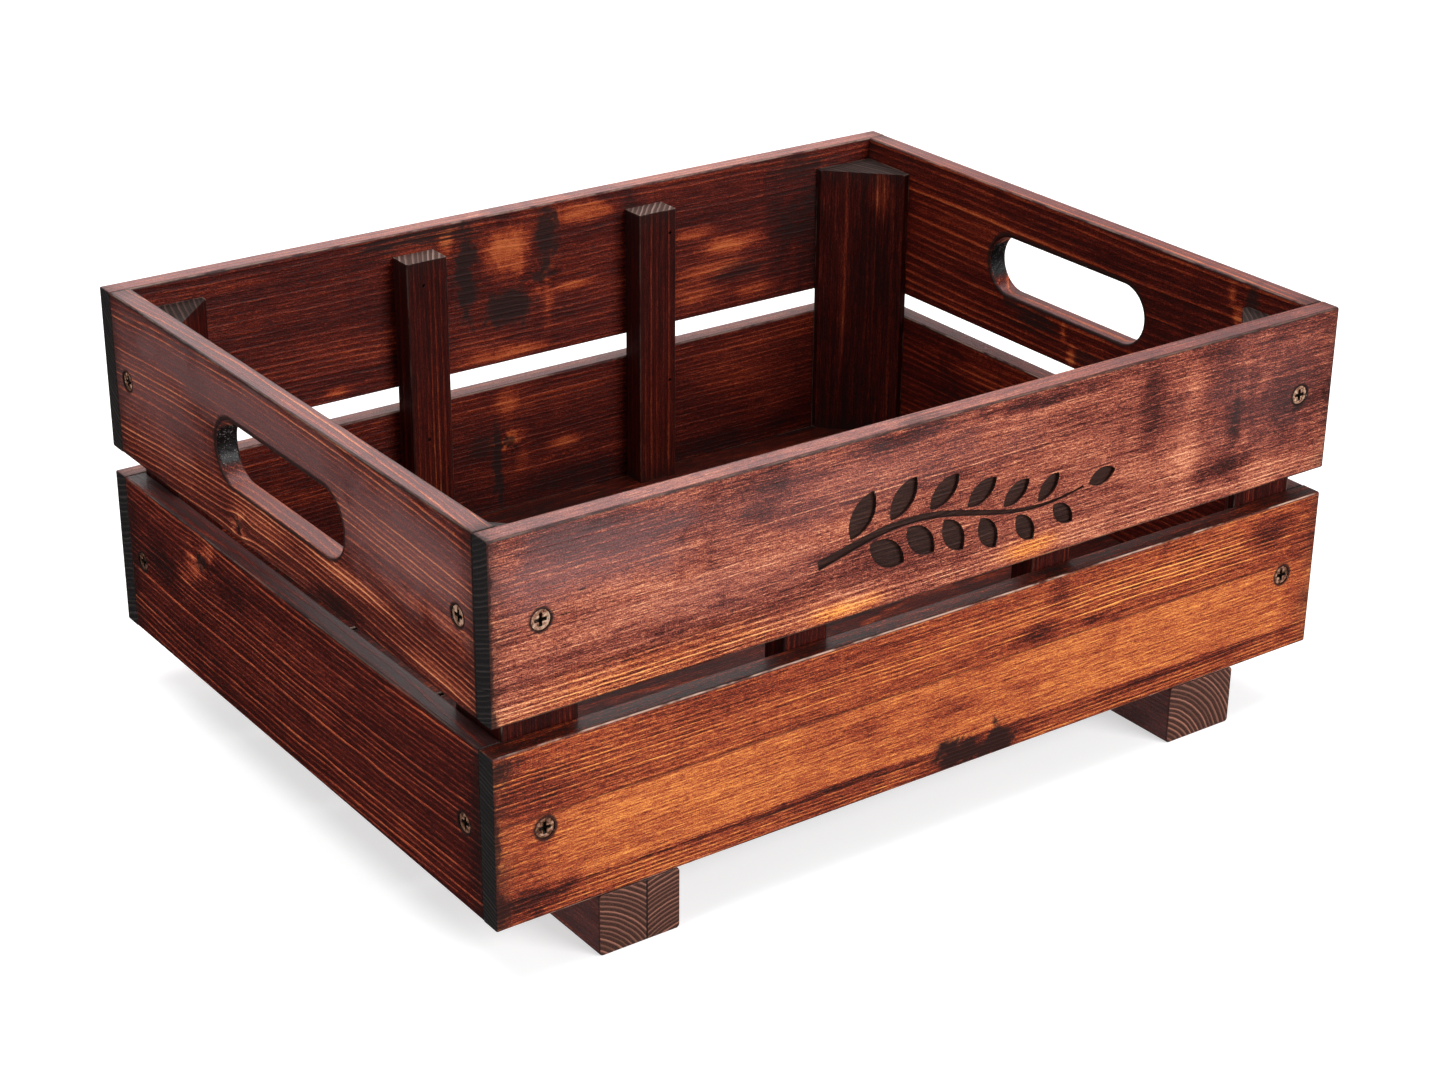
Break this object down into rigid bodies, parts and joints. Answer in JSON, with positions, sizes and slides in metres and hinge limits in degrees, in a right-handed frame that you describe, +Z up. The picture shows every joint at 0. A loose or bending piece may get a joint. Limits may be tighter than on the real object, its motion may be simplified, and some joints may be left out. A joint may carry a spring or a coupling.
{
  "type": "wooden crate",
  "caption": "Open-top slatted wooden crate with rounded hand-holes in both ends, corner posts, a boarded floor and two runners; holds fruit, bottles or tools and is carried by hand.",
  "frame": {"origin": "on the ground under the middle of the crate, level with the runners' undersides", "axes": "+X along the long side, +Y from the decorated front to the back, +Z up"},
  "size_m": [0.4, 0.302, 0.1755],
  "materials": {
    "boards": "burnt and stained pine under satin varnish",
    "posts_and_battens": "burnt and stained pine under satin varnish",
    "floor": "burnt and stained pine under satin varnish",
    "runners": "dark stained pine under satin varnish",
    "screws": "antique bronze plated steel",
    "brads": "blackened steel"
  },
  "bodies": {
    "root": {"upper_front_board": "boards", "upper_back_board": "boards", "upper_left_end_board": "boards", "upper_right_end_board": "boards", "lower_front_board": "boards", "lower_back_board": "boards", "lower_left_end_board": "boards", "lower_right_end_board": "boards", "corner_post_front_left": "posts_and_battens", "corner_post_front_right": "posts_and_battens", "corner_post_back_left": "posts_and_battens", "corner_post_back_right": "posts_and_battens", "batten_front_left": "posts_and_battens", "batten_front_right": "posts_and_battens", "batten_back_left": "posts_and_battens", "batten_back_right": "posts_and_battens", "floor_board_front": "floor", "floor_board_mid_front": "floor", "floor_board_mid_back": "floor", "floor_board_back": "floor", "runner_left": "runners", "runner_right": "runners", "upper_front_screws": "screws", "upper_back_screws": "screws", "upper_left_end_screws": "screws", "upper_right_end_screws": "screws", "lower_front_screws": "screws", "lower_back_screws": "screws", "lower_left_end_screws": "screws", "lower_right_end_screws": "screws", "runner_left_screws": "screws", "runner_right_screws": "screws", "post_foot_screws": "screws", "batten_brads": "brads"}
  },
  "joints": []
}
